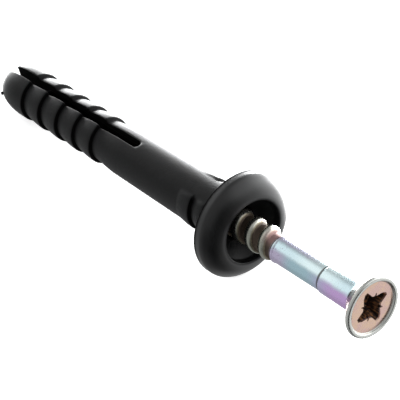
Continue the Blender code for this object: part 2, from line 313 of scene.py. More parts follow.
class Shader:
    """A node tree that is written as expressions."""

    # Painted shade: a dull black that a material mixes in where it marks its own shade.
    PAINTED_SHADE_BLACK = {
        "Base Color": (0.001, 0.001, 0.001, 1.0),
        "Roughness": 1.0,
        "Specular IOR Level": 0.05,
    }

    def __init__(self, tree: bpy.types.NodeTree) -> None:
        """Takes over a node tree and empties it."""
        self.tree = tree
        tree.nodes.clear()

    @classmethod
    def on_material(cls, name: str) -> tuple[bpy.types.Material, Shader]:
        """A new material and the shader on its nodes."""
        made = bpy.data.materials.new(name)
        made.use_nodes = True
        return made, cls(made.node_tree)

    def node(
        self,
        kind: str,
        settings: dict[str, Any] | None = None,
        inputs: dict[str | int, Any] | None = None,
    ) -> bpy.types.Node:
        """Adds a node.

        Args:
            kind: The node's type.
            settings: The node's own settings, set first.
            inputs: A value, a number or a tuple for each socket, by name or place.

        Returns:
            The node.
        """
        made = self.tree.nodes.new(kind)
        for name, setting in (settings or {}).items():
            setattr(made, name, setting)
        for key, given in (inputs or {}).items():
            if isinstance(given, Value):
                self.tree.links.new(given.socket, made.inputs[key])
            else:
                made.inputs[key].default_value = given
        return made

    def output(self, node: bpy.types.Node, socket: str | int = 0) -> Value:
        """An output of a node as a value."""
        return Value(self, node.outputs[socket])

    def math(self, operation: str, *values: Value | float) -> Value:
        """Adds a Math node on one or two values."""
        inputs = dict(enumerate(values))
        return self.output(self.node("ShaderNodeMath", {"operation": operation}, inputs))

    def vector_math(self, operation: str, *values: Any) -> bpy.types.Node:
        """Adds a Vector Math node."""
        return self.node("ShaderNodeVectorMath", {"operation": operation}, dict(enumerate(values)))

    def rise(self, value: Value, low: float, high: float) -> Value:
        """A smooth step from 0 at low to 1 at high. It falls where low is the larger."""
        ends = {"Value": value, "From Min": low, "From Max": high}
        made = self.node("ShaderNodeMapRange", {"interpolation_type": "SMOOTHSTEP"}, ends)
        return self.output(made)

    def band(self, value: Value, low: float, high: float, soft: float) -> Value:
        """1 between low and high, fading to 0 over soft on both sides."""
        up = self.rise(value, low - soft, low + soft)
        return up * self.rise(value, high + soft, high - soft)

    def blend(self, share: Value | float, first: Any, second: Any, how: str = "MIX") -> Value:
        """Mixes two colours.

        Args:
            share: How much of the second colour shows.
            first: The colour at 0.
            second: The colour at 1.
            how: The Mix node's blend type.

        Returns:
            The mixed colour.
        """
        sides = {0: share, 6: self._rgba(first), 7: self._rgba(second)}
        made = self.node("ShaderNodeMix", {"data_type": "RGBA", "blend_type": how}, sides)
        return self.output(made, 2)

    @staticmethod
    def _rgba(colour: Any) -> Any:
        """A named colour with its alpha, or a value as it is."""
        return colour if isinstance(colour, Value) else (*colour, 1.0)

    def noise(
        self,
        where: Value,
        scale: float,
        detail: float = 3.0,
        rough: float = 0.55,
        warp: float = 0.0,
    ) -> Value:
        """Soft noise from 0 to 1.

        Args:
            where: The point.
            scale: Cells per millimetre.
            detail: Octaves.
            rough: Strength of the finer octaves.
            warp: Distortion.

        Returns:
            The noise.
        """
        given = {
            "Vector": where,
            "Scale": scale,
            "Detail": detail,
            "Roughness": rough,
            "Distortion": warp,
        }
        return self.output(self.node("ShaderNodeTexNoise", None, given), "Fac")

    def plug_point(self, plug: PlugFrame) -> Value:
        """The shaded point in the plug's own frame, in millimetres."""
        here = self.output(self.node("ShaderNodeTexCoord"), "Object")
        given = {
            "Vector": here,
            "Location": tuple(plug.origin),
            "Rotation": plug.euler,
            "Scale": (MM, MM, MM),
        }
        return self.output(self.node("ShaderNodeMapping", {"vector_type": "TEXTURE"}, given))

    def stretched(self, vector: Value, scale: Colour) -> Value:
        """A point scaled along each axis."""
        return self.output(self.vector_math("MULTIPLY", vector, scale))

    def parts(self, vector: Value) -> tuple[Value, Value, Value]:
        """The x, y and z of a vector."""
        split = self.node("ShaderNodeSeparateXYZ", None, {0: vector})
        return self.output(split, 0), self.output(split, 1), self.output(split, 2)

    def bump(self, height: Value, distance: float, strength: float = 1.0) -> Value:
        """A bumped normal from a height of 0 to 1 times a distance in metres."""
        given = {"Height": height, "Distance": distance, "Strength": strength}
        return self.output(self.node("ShaderNodeBump", None, given), "Normal")

    def surface(self, settings: dict[str, Any], shaded: Value | None = None) -> None:
        """Adds the Principled shader and the output.

        Args:
            settings: The shader's sockets by name.
            shaded: Where 1, a dull black painted shade shows in its place.
        """
        shown = self.output(self.node("ShaderNodeBsdfPrincipled", None, settings))
        if shaded is not None:
            black = self.output(self.node("ShaderNodeBsdfPrincipled", None, self.PAINTED_SHADE_BLACK))
            both = {0: shaded, 1: shown, 2: black}
            shown = self.output(self.node("ShaderNodeMixShader", None, both))
        self.node("ShaderNodeOutputMaterial", None, {"Surface": shown})


@dataclass(frozen=True)
class NylonFinish:
    """Black moulded nylon: satin body and polished collar, with dull black painted shade on the
    slot's walls, the barbs' steep faces and the collar's rear edge.

    Args:
        base: Colour of the bulk.
        scuffed: Colour where the skin is a little rubbed.
        roughness: Mean roughness.
        specular: Strength of the bare skin's reflection.
        polish: Gloss of the collar's front.
        polish_roughness: Roughness of that gloss.
        relief: Height of the skin's grain, in metres.
    """

    base: Colour = (0.0020, 0.0021, 0.0024)
    scuffed: Colour = (0.0042, 0.0043, 0.0047)
    roughness: float = 0.46
    specular: float = 0.18
    polish: float = 0.85
    polish_roughness: float = 0.3
    relief: float = 0.022 * MM

    def material(self, plug: PlugFrame, sleeve: Sleeve) -> bpy.types.Material:
        """Builds the material.

        Args:
            plug: The plug's frame.
            sleeve: The sleeve, for the places of its slot, barbs and collar.

        Returns:
            The nylon.
        """
        made, shader = Shader.on_material("black_nylon_finish")
        point = shader.plug_point(plug)
        x, y, z = shader.parts(point)
        radius = (x * x + y * y) ** 0.5
        grain = shader.noise(point, 5.5, 4.0, 0.62)
        cloud = shader.noise(point, 0.32, 3.0)
        swirl = shader.noise(point, 1.1, 3.0, 0.5, 1.6)
        tone = shader.blend(shader.rise(cloud, 0.3, 0.75), self.base, self.scuffed)
        rough = self.roughness + (cloud - 0.5) * 0.10 + (grain - 0.5) * 0.12
        collar = shader.rise(z, -3.3, -2.9) * shader.rise(radius, 5.1, 5.5)
        shader.surface(
            {
                "Base Color": tone,
                "Roughness": rough,
                "Specular IOR Level": self.specular,
                "Coat Weight": collar * self.polish,
                "Coat Roughness": self.polish_roughness,
                "Normal": shader.bump(grain * 0.8 + swirl * 1.4, self.relief, 0.55),
            },
            # painted shade: dull black on the slot's walls, the barbs' steep faces and the collar's
            # rear edge
            shaded=self.painted_undercut_shade(shader, sleeve, y, z, radius),
        )
        return made

    @staticmethod
    def painted_undercut_shade(shader: Shader, sleeve: Sleeve, y: Value, z: Value, radius: Value) -> Value:
        """Where dull black is painted in as the nylon's own shade.

        Args:
            shader: The nylon's nodes.
            sleeve: The sleeve.
            y: Distance from the slot's plane, in millimetres.
            z: Height in millimetres.
            radius: Distance from the axis, in millimetres.

        Returns:
            1 on the slot's walls, the barbs' steep faces and the collar's rear edge, where shade is
            painted.
        """
        half = 0.5 * sleeve.slot_width / MM
        inner_end = (sleeve.slot_length - sleeve.length) / MM
        # Painted shade on the slot's walls.
        walls = shader.rise(abs(y), half + 0.10, half + 0.02)
        walls = walls * shader.rise(z, inner_end - half, inner_end - 1.3 * half)
        radius_in = shader.rise(radius, 4.4, 4.3)
        pitch = sleeve.barb_pitch / MM
        first = (sleeve.first_barb - sleeve.length) / MM
        last = first + (sleeve.barb_count - 1) * pitch
        step = sleeve.barb_step / MM
        turn = shader.math("FRACT", (z - first) / pitch + 0.5) * pitch - 0.5 * pitch
        # Painted shade on the barbs' steep faces, faded out on the far leg; the grips' steep faces
        # get the same on one side.
        barbs = shader.band(turn, -0.03, step + 0.03, 0.04)
        barbs = barbs * shader.band(z, first - 0.5, last + 0.5, 0.1) * shader.rise(y, 0.8, -0.2)
        for index in range(sleeve.grip_count):
            crest = sleeve.grip_z(index) / MM
            grip = shader.band(z, crest - 0.02, crest + step + 0.02, 0.04)
            barbs = shader.math("MAXIMUM", barbs, grip * shader.rise(y, -2.3, -2.8))
        # Painted shade over the collar's rear edge.
        rear = shader.rise(z, -3.2, -3.4) * shader.rise(radius, 7.4, 7.6)
        return shader.math("MAXIMUM", walls * radius_in, shader.math("MAXIMUM", barbs * 0.9, rear))


@dataclass(frozen=True)
class SteelFinish:
    """Zinc plated steel under a thin passivation film that changes colour along the screw. Some of
    its colours are painted light and shade: paler upper sides, and darker thread valleys, shank
    groove, rim line and recess.

    Args:
        head_z: Height of the head's face in the plug's frame, in millimetres.
        crest: Radius of the thread's crest, in millimetres.
        root: Radius of the thread's root, in millimetres.
        thread_z: Height where the thread meets the shoulder, in millimetres.
        groove_z: Height of the thin groove in the shank, in millimetres.
        relief: Height of the plating's grain, in metres.
    """

    head_z: float = 25.3
    crest: float = 2.5
    root: float = 1.85
    thread_z: float = 5.8
    groove_z: float = 15.9
    relief: float = 0.018 * MM

    PALE_BLUE = (0.66, 0.83, 0.88)
    ICE = (0.78, 0.93, 0.95)
    LILAC = (0.60, 0.54, 0.72)
    SEA_BLUE = (0.46, 0.66, 0.74)
    MAGENTA = (0.68, 0.46, 0.82)
    CREAM = (0.74, 0.73, 0.66)
    SAGE = (0.36, 0.37, 0.32)
    OLIVE = (0.24, 0.21, 0.15)
    BROWN_SHADE = (0.075, 0.055, 0.040)
    ROSE = (0.46, 0.28, 0.27)
    TAN = (0.26, 0.19, 0.16)
    LIGHT_TAN = (0.40, 0.30, 0.27)
    VIOLET = (0.42, 0.34, 0.52)
    SILVER = (0.60, 0.61, 0.58)
    BEIGE = (0.66, 0.47, 0.36)
    PINK = (0.62, 0.43, 0.39)
    RECESS_SHADE = (0.022, 0.012, 0.010)
    RUST = (0.34, 0.15, 0.06)

    # Direction across the axis to the side that lies lowest in the camera's view; colours keyed to
    # it paint light and shade by side.
    LOW_EDGE = (0.4932, -0.8699)
    ACROSS_HEAD = (0.766, 0.643)

    def material(self, plug: PlugFrame) -> bpy.types.Material:
        """Builds the material.

        Args:
            plug: The plug's frame.

        Returns:
            The plated steel.
        """
        made, shader = Shader.on_material("passivated_steel_finish")
        point = shader.plug_point(plug)
        x, y, z = shader.parts(point)
        radius = (x * x + y * y) ** 0.5
        around = self.facing(x, y, radius, self.LOW_EDGE)
        cloud = shader.noise(point, 0.45, 3.0, 0.5, 0.4)
        fleck = shader.noise(point, 2.6, 3.0, 0.6)
        grain = shader.noise(point, 9.0, 3.0, 0.6)
        colour = self._shank(shader, z, around, cloud, fleck)
        colour = self._neck(shader, colour, z, radius, cloud)
        colour = self._thread(shader, colour, z, radius, around, cloud, fleck)
        lateral = self.facing(x, y, radius, self.ACROSS_HEAD)
        colour = self._head(shader, colour, z, radius, lateral, cloud, fleck)
        # Painted shade: the recess's walls go near black, with rust-coloured streaks.
        recess = self._recess(shader, z, radius)
        streak = shader.noise(shader.stretched(point, (2.6, 2.6, 0.3)), 1.0, 3.0, 0.6)
        shade_and_rust = shader.blend(shader.rise(streak, 0.46, 0.68), self.RECESS_SHADE, self.RUST)
        colour = shader.blend(recess, colour, shade_and_rust)
        threaded = shader.rise(z, self.thread_z - 0.1, self.thread_z - 0.5)
        valley = threaded * shader.rise(radius, self.crest - 0.1, self.root + 0.05)
        rough = 0.26 + (fleck - 0.5) * 0.16 + valley * 0.25 + recess * 0.25
        metal = 1.0 - valley * 0.35 - recess * 0.3
        shader.surface(
            {
                "Base Color": colour,
                "Metallic": metal,
                "Roughness": rough,
                "Normal": shader.bump(fleck + grain * 0.7, self.relief, 0.5),
            }
        )
        return made

    @staticmethod
    def facing(x: Value, y: Value, radius: Value, toward: Point) -> Value:
        """1 on the side towards a direction across the axis, -1 on the opposite side."""
        return (x * toward[0] + y * toward[1]) / (radius + 0.001)

    def _shank(
        self, shader: Shader, z: Value, around: Value, cloud: Value, fleck: Value
    ) -> Value:
        """Film colours along the plain shank; round it, the upper side's paler blues are partly
        film colour and partly painted light, and the lilac at the upper edge is a painted
        reflection.
        """
        low_side = shader.blend(shader.rise(z, 7.5, 10.5), self.LILAC, self.SEA_BLUE)
        low_side = shader.blend(shader.rise(z, 13.0, 19.5), low_side, self.MAGENTA)
        wave = around + (cloud - 0.5) * 0.35
        bright = shader.blend(shader.band(z, 11.5, 19.0, 2.0), self.PALE_BLUE, self.ICE)
        # Painted reflection: lilac towards the upper edge.
        edge = shader.rise(wave, -0.38, -0.62) * shader.rise(z, 15.5, 11.5)
        bright = shader.blend(edge * 0.7, bright, self.LILAC)
        # Partly painted light: the upper side takes the paler blues, the lower side the film's
        # lilac, blue and magenta.
        colour = shader.blend(shader.rise(wave, 0.05, 0.42), bright, low_side)
        speckle = shader.rise(fleck, 0.52, 0.7) * shader.rise(z, 9.5, 6.5)
        colour = shader.blend(speckle * 0.7, colour, self.VIOLET)
        # Painted shade: a dark brown line in the shank's groove.
        groove = shader.band(z, self.groove_z - 0.2, self.groove_z + 0.16, 0.05)
        return shader.blend(groove * 0.75, colour, self.BROWN_SHADE)

    def _neck(
        self, shader: Shader, colour: Value, z: Value, radius: Value, cloud: Value
    ) -> Value:
        """Tan cone below the head."""
        cone = shader.rise(z, self.head_z - 4.0, self.head_z - 3.2)
        tan = shader.blend(shader.rise(cloud, 0.35, 0.7), self.TAN, self.LIGHT_TAN)
        return shader.blend(cone * shader.rise(radius, 2.28, 2.5), colour, tan)

    def _thread(
        self,
        shader: Shader,
        colour: Value,
        z: Value,
        radius: Value,
        around: Value,
        cloud: Value,
        fleck: Value,
    ) -> Value:
        """Painted shade in the brown valleys, a painted highlight on the crests' cream upper side
        and painted shade on their duller low side, and a rosy patch.
        """
        threaded = shader.rise(z, self.thread_z, self.thread_z - 0.4)
        height = shader.rise(radius + (fleck - 0.5) * 0.2, self.root + 0.05, self.crest - 0.05)
        # Painted light and shade: cream on the crests' upper side, sage on their low side.
        low_side = shader.rise(around + (cloud - 0.5) * 0.6, -0.6, 0.0)
        crest = shader.blend(low_side, self.CREAM, self.SAGE)
        # Painted shade: the valleys and lower flanks go brown and olive, over a brownish tint.
        ridge = shader.blend(shader.rise(height, 0.1, 0.5), self.BROWN_SHADE, self.OLIVE)
        ridge = shader.blend(shader.rise(height, 0.55, 0.95), ridge, crest)
        rose = shader.band(z, 4.0, 6.1, 0.5) * shader.rise(around, 0.5, -0.4)
        return shader.blend(rose * 0.6, shader.blend(threaded, colour, ridge), self.ROSE)

    def _head(
        self,
        shader: Shader,
        colour: Value,
        z: Value,
        radius: Value,
        lateral: Value,
        cloud: Value,
        fleck: Value,
    ) -> Value:
        """Silver rim round a beige dish, with a painted shade line on the rim's inner wall at the
        two sides across the head.
        """
        top = shader.rise(z, self.head_z - 0.75, self.head_z - 0.45)
        rim = top * shader.rise(radius, 3.85, 4.0)
        dish = shader.rise(z, self.head_z - 0.6, self.head_z - 0.5)
        dish = dish * shader.rise(radius, 3.92, 3.8)
        line = dish * shader.band(radius, 3.72, 3.98, 0.05)
        patch = shader.rise(cloud + (fleck - 0.5) * 0.5, 0.4, 0.65)
        colour = shader.blend(dish, colour, shader.blend(patch, self.BEIGE, self.PINK))
        colour = shader.blend(rim, colour, self.SILVER)
        # Painted shade: a dark line on the rim's inner wall at the two sides across the head.
        rim_wall_shade = shader.rise(abs(lateral), 0.68, 0.86) * shader.rise(fleck, 0.3, 0.5)
        return shader.blend(line * rim_wall_shade * 0.85, colour, self.BROWN_SHADE)

    def _recess(self, shader: Shader, z: Value, radius: Value) -> Value:
        """1 on the walls of the cross recess, 0 elsewhere."""
        deep = shader.rise(z, self.head_z - 0.48, self.head_z - 0.62)
        inside_cone = shader.rise(radius - z, 4.95 - self.head_z, 4.85 - self.head_z)
        return deep * inside_cone * shader.rise(radius, 3.3, 3.2) * shader.rise(
            z, self.head_z - 4.0, self.head_z - 3.6
        )


@dataclass
class Sleeve:
    """The moulded sleeve: body, legs with barbs, collar and head recess. Sizes in metres."""

    length: float = 60.0 * MM
    body_radius: float = 4.0 * MM
    waist_taper: float = 0.18 * MM
    slot_length: float = 34.4 * MM
    slot_width: float = 1.3 * MM
    slot_mouth: float = 1.1 * MM
    slot_edge: float = 0.32 * MM
    barb_count: int = 5
    barb_pitch: float = 4.55 * MM
    first_barb: float = 6.9 * MM
    first_barb_swell: float = 0.12 * MM
    last_barb_swell: float = -0.05 * MM
    barb_depth: float = 0.55 * MM
    barb_step: float = 0.15 * MM
    barb_edge: float = 0.14 * MM
    nose_length: float = 5.4 * MM
    nose_end_radius: float = 2.6 * MM
    grip_count: int = 2
    grip_pitch: float = 2.95 * MM
    grip_setback: float = 3.45 * MM
    grip_swell: float = 0.27 * MM
    grip_depth: float = 0.59 * MM
    grip_lead: float = 1.9 * MM
    waist_start: float = -13.0 * MM
    waist_end: float = -30.4 * MM
    grip_field: float = radians(35.0)
    grip_fade: float = radians(12.0)
    collar_radius: float = 8.3 * MM
    collar_thickness: float = 3.7 * MM
    collar_band: float = 1.0 * MM
    collar_edge: float = 0.4 * MM
    collar_bulge: float = 0.22 * MM
    rim_edge: float = 0.3 * MM
    neck_fillet: float = 0.4 * MM
    recess_radius: float = 5.0 * MM
    recess_wall: float = 1.2 * MM
    bore_radius: float = 2.75 * MM
    bore_cone_start: float = -50.0 * MM
    bore_end: float = -55.25 * MM
    nib_place: Point = (radians(264.0), -59.25 * MM)
    nib_radius: float = 0.36 * MM
    nib_foot: float = 2.9 * MM
    nib_length: float = 1.5 * MM
    facets: int = 168

    EDGE_COLUMNS = (0.5, 0.6, 0.7, 0.8, 0.9)
    SLOT_SPARE = 2.0 * MM
    MOUTH_ROWS = 10

    def build(self, plug: PlugFrame, finish: NylonFinish) -> bpy.types.Object:
        """Turns, cuts and dresses the sleeve.

        Args:
            plug: The plug's frame.
            finish: The nylon.

        Returns:
            The finished piece.
        """
        blank = Workshop.turn(self.outline(), self.facets, start=0.5 * tau / self.facets)
        self.flatten_grip_fields(blank)
        blank_piece = Workshop.piece("sleeve_blank", blank)
        bm = Workshop.cut(blank_piece, [self.slot_tool()], (self.gate_nib(),))
        piece = Workshop.finish("Sleeve", bm, plug.matrix, finish.material(plug, self))
        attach(piece, Body.PLUG.value)
        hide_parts("sleeve")
        return piece

    @property
    def tip(self) -> float:
        """Height of the sleeve's far end."""
        return -self.length

    def barb(self, index: int) -> Point:
        """Radius and height of a leg barb's crest, counted from the tip."""
        share = index / (self.barb_count - 1)
        swell = self.first_barb_swell + (self.last_barb_swell - self.first_barb_swell) * share
        return self.body_radius + swell, self.tip + self.first_barb + index * self.barb_pitch

    def grip_z(self, index: int) -> float:
        """Height of the crest of a collar barb, counted from the collar."""
        return -self.collar_thickness - self.grip_setback - index * self.grip_pitch

    def tooth(self, crest: Point, depth: float, ramp_end: Point, steps: int = 7) -> list[Corner]:
        """One barb, from its steep face down its long ramp.

        Args:
            crest: Radius and height of the crest.
            depth: How far the root lies below the crest.
            ramp_end: Radius and height where the ramp ends.
            steps: Stretches of the ramp.

        Returns:
            The barb's corners without the ramp's end.
        """
        radius, z = crest
        top = z - self.barb_edge
        corners = [
            (radius - depth, z + self.barb_step, 0.04 * MM),
            (radius - 0.4 * self.barb_edge, z - 0.1 * self.barb_edge, 0.09 * MM),
            (radius, top - 0.1 * MM, 0.08 * MM),
        ]
        end_radius, end_z = ramp_end
        for step in range(1, steps):
            share = step / steps
            ramp = end_radius + (radius - end_radius) * (1.0 - share * share)
            corners.append((ramp, top + (end_z - top) * share, 0.0))
        return corners

    def outline(self) -> list[Point]:
        """The sleeve's outline: bore, recess, collar, body, barbs and nose."""
        made = Outline(steps=5)
        made.add(0.0, self.bore_end).add(self.bore_radius, self.bore_cone_start)
        recess_end = -self.recess_wall - (self.recess_radius - self.bore_radius)
        for z in (-36.0, -24.0, -12.0):
            made.add(self.bore_radius, z * MM)
        made.add(self.bore_radius, recess_end, 0.2 * MM)
        made.add(self.recess_radius, -self.recess_wall, 0.25 * MM)
        made.add(self.recess_radius, 0.0, 0.32 * MM)
        self.add_collar(made)
        self.add_grips(made)
        self.add_barbs(made)
        self.add_nose(made)
        return made.points()

    def add_collar(self, made: Outline) -> None:
        """The domed front, the band, the rounded edges and the seat."""
        edge = self.collar_edge
        inner = self.recess_radius + self.rim_edge
        outer = self.collar_radius - edge + edge * cos(radians(60.0))
        seat = -self.collar_thickness
        band_top = seat + edge + self.collar_band
        shoulder = band_top + edge * sin(radians(60.0))
        steps = 12
        for step in range(1, steps):
            share = step / steps
            bulge = self.collar_bulge * sin(pi * share)
            made.add(inner + (outer - inner) * share + bulge, shoulder * share + bulge)
        made.add(outer, shoulder).add(self.collar_radius, band_top, 0.3 * MM)
        made.add(self.collar_radius, seat, 0.35 * MM)
        made.add(self.body_radius, seat, self.neck_fillet)

    def add_grips(self, made: Outline) -> None:
        """The two short barbs behind the collar."""
        radius = self.body_radius + self.grip_swell
        root = radius - self.grip_depth
        made.add(self.body_radius, self.grip_z(0) + self.grip_lead, 0.5 * MM)
        for index in range(self.grip_count):
            z = self.grip_z(index)
            last = index == self.grip_count - 1
            end = (root, z - self.grip_pitch + self.barb_step)
            end = (self.body_radius, z - self.grip_pitch) if last else end
            made.extend(self.tooth((radius, z), self.grip_depth, end))
        made.add(self.body_radius, self.grip_z(self.grip_count), 0.3 * MM)
        for z in (-17.0 * MM, -21.0 * MM, -25.0 * MM, -28.0 * MM):
            share = (z - self.waist_start) / (self.waist_end - self.waist_start)
            made.add(self.body_radius - self.waist_taper * share, z)

    def add_barbs(self, made: Outline) -> None:
        """The barbs on the legs, from the innermost one to the one next to the nose."""
        top = self.barb(self.barb_count - 1)[1] + self.barb_pitch
        made.add(self.body_radius - self.waist_taper, top)
        for index in reversed(range(1, self.barb_count)):
            radius, z = self.barb(index)
            next_radius, next_z = self.barb(index - 1)
            end = (next_radius - self.barb_depth, next_z + self.barb_step)
            made.extend(self.tooth((radius, z), self.barb_depth, end))
        radius, z = self.barb(0)
        made.extend(self.tooth((radius, z), self.barb_depth, (radius, z - 0.6 * MM))[:3])

    def add_nose(self, made: Outline) -> None:
        """The nose: a quarter ellipse from the first barb to the flat end."""
        swell = self.barb(0)[0] - self.nose_end_radius
        steps = 18
        for step in range(steps + 1):
            angle = 0.5 * pi * step / steps
            radius = self.nose_end_radius + swell * cos(angle)
            z = self.tip + self.nose_length * (1.0 - sin(angle))
            made.add(radius, z, 0.12 * MM if step == steps else 0.0)
        made.add(0.0, self.tip)

    def flatten_grip_fields(self, bm: bmesh.types.BMesh) -> None:
        """Brings the collar barbs to the plain body on both sides of the slot's plane."""
        spare = 0.4 * MM
        top = self.grip_z(0) + self.barb_step + spare
        bottom = top - self.grip_count * self.grip_pitch - 3.0 * spare
        for vertex in bm.verts:
            radius = hypot(vertex.co.x, vertex.co.y)
            if not bottom < vertex.co.z < top or radius < self.bore_radius + 0.1 * MM:
                continue
            from_slot = atan2(abs(vertex.co.y), abs(vertex.co.x))
            share = (self.grip_field + 0.5 * self.grip_fade - from_slot) / self.grip_fade
            share = min(max(share, 0.0), 1.0)
            share = share * share * (3.0 - 2.0 * share)
            wanted = radius + (self.body_radius - radius) * share
            vertex.co.x *= wanted / radius
            vertex.co.y *= wanted / radius

    def gate_nib(self) -> bpy.types.Object:
        """The small stub on the nose where the nylon was let into the mould."""
        bm = bmesh.new()
        angle, height = self.nib_place
        foot = Vector((self.nib_foot * cos(angle), self.nib_foot * sin(angle), height))
        outward = Vector((cos(angle), sin(angle), -0.35)).normalized()
        place = Matrix.Translation(foot) @ outward.to_track_quat("Z", "Y").to_matrix().to_4x4()
        bmesh.ops.create_cone(
            bm,
            cap_ends=True,
            segments=20,
            radius1=self.nib_radius,
            radius2=0.75 * self.nib_radius,
            depth=self.nib_length,
            matrix=place,
        )
        return Workshop.piece("gate_nib", bm)

    def slot_tool(self) -> bpy.types.Object:
        """The cutter of the slot: open at the tip, round at its inner end, with flared edges."""
        spare = self.SLOT_SPARE
        bm = bmesh.new()
        length = self.slot_length + spare
        end = self.tip + self.slot_length
        place = Matrix.Translation((0.0, 0.0, end - 0.5 * length))
        size = Matrix.Diagonal((2.0, self.slot_width, length, 1.0))
        bmesh.ops.create_cube(bm, size=1.0, matrix=place @ size)
        along = [e for e in bm.edges if all(v.co.z > end - 1e-6 for v in e.verts)]
        bmesh.ops.bevel(
            bm,
            geom=[e for e in along if abs(e.verts[0].co.x - e.verts[1].co.x) > 1.0],
            offset=0.49 * self.slot_width,
            affect="EDGES",
            segments=8,
            profile=0.5,
            material=-1,
        )
        seat = -self.collar_thickness
        outside = [(r, z) for r, z in self.outline() if z < seat and r > self.bore_radius]
        nose_end = [(self.nose_end_radius, self.tip - spare), (self.nose_end_radius, self.tip)]
        skin = nose_end + outside[::-1]
        turns = [0.5 * pi * row / (self.MOUTH_ROWS - 1) for row in range(self.MOUTH_ROWS)]
        mouth = [self.tip + self.slot_mouth * (1.0 - cos(turn)) for turn in turns]
        for z in sorted([z for _, z in skin if self.tip < z < end] + mouth):
            Workshop.add_row(bm, (0.0, 0.0, z), (0.0, 0.0, 1.0))
        for column in self.EDGE_COLUMNS:
            Workshop.add_row(bm, (column, 0.0, 0.0), (1.0, 0.0, 0.0))
            Workshop.add_row(bm, (-column, 0.0, 0.0), (1.0, 0.0, 0.0))
        for vertex in bm.verts:
            vertex.co = self.flared(vertex.co, skin)
        return Workshop.piece("slot_tool", bm)

    def flared(self, place: Vector, skin: list[Point]) -> Vector:
        """Moves a point of the slot's cutter, so that the cut rounds the legs' edges.

        Args:
            place: The point, with x from 0 to 0.5 inside, 0.5 to 0.9 in the edge, 1 outside.
            skin: Radius and height along the sleeve's outside, from the tip up.

        Returns:
            The point in metres.
        """
        x, y, z = place
        half = 0.5 * self.slot_width
        into = min(max((abs(x) - 0.5) / 0.4, 0.0), 1.0)
        flare = self.slot_edge * (1.0 - (1.0 - into * into) ** 0.5)
        left = min(max(self.tip + self.slot_mouth - z, 0.0), self.slot_mouth)
        mouth = self.slot_mouth - (self.slot_mouth**2 - left**2) ** 0.5
        past = max(z - (self.tip + self.slot_length - half), 0.0)
        y += (flare * y + mouth * y) / half
        outside = 1.5 * MM if abs(x) > 0.95 else 0.02 * MM
        reach = self.radius_at(skin, z) + (into - 1.0) * self.slot_edge + into * outside
        x = (reach**2 - y**2) ** 0.5 * (1.0 if x > 0.0 else -1.0)
        return Vector((x, y, z + flare * past / half))

    @staticmethod
    def radius_at(skin: list[Point], z: float) -> float:
        """The sleeve's outer radius at a height."""
        for (r_low, z_low), (r_high, z_high) in zip(skin, skin[1:]):
            if z <= z_high:
                share = (z - z_low) / max(z_high - z_low, 1e-9)
                return r_low + (r_high - r_low) * share
        return skin[-1][0]


@dataclass(frozen=True)
class Wing:
    """Two opposite wings of the screw's recess, which narrow outwards and downwards.

    Args:
        reach: From the axis to the tips at the face.
        floor_reach: From the axis to the tips at the floor.
        width: Width at the tips.
        root_width: Width at the axis.
        depth: Depth below the face.
    """

    reach: float
    floor_reach: float
    width: float
    root_width: float
    depth: float

    def tool(self, name: str, turn: float) -> bpy.types.Object:
        """The cutter of both wings, turned about the axis by an angle in radians."""
        bm = bmesh.new()
        spare = 1.0 * MM
        place = Matrix.Translation((0.0, 0.0, 0.5 * (spare - self.depth)))
        size = Matrix.Diagonal((1.0, self.width, self.depth + spare, 1.0))
        bmesh.ops.create_cube(bm, size=1.0, matrix=place @ size)
        Workshop.add_row(bm, (0.0, 0.0, 0.0), (1.0, 0.0, 0.0))
        slope = (self.reach - self.floor_reach) / self.depth
        for vertex in bm.verts:
            if abs(vertex.co.x) < 1e-6:
                vertex.co.y *= self.root_width / self.width
            else:
                side = 1.0 if vertex.co.x > 0.0 else -1.0
                vertex.co.x = side * (self.reach + slope * vertex.co.z)
        bmesh.ops.transform(bm, matrix=Matrix.Rotation(turn, 4, "Z"), verts=bm.verts)
        return Workshop.piece(name, bm)


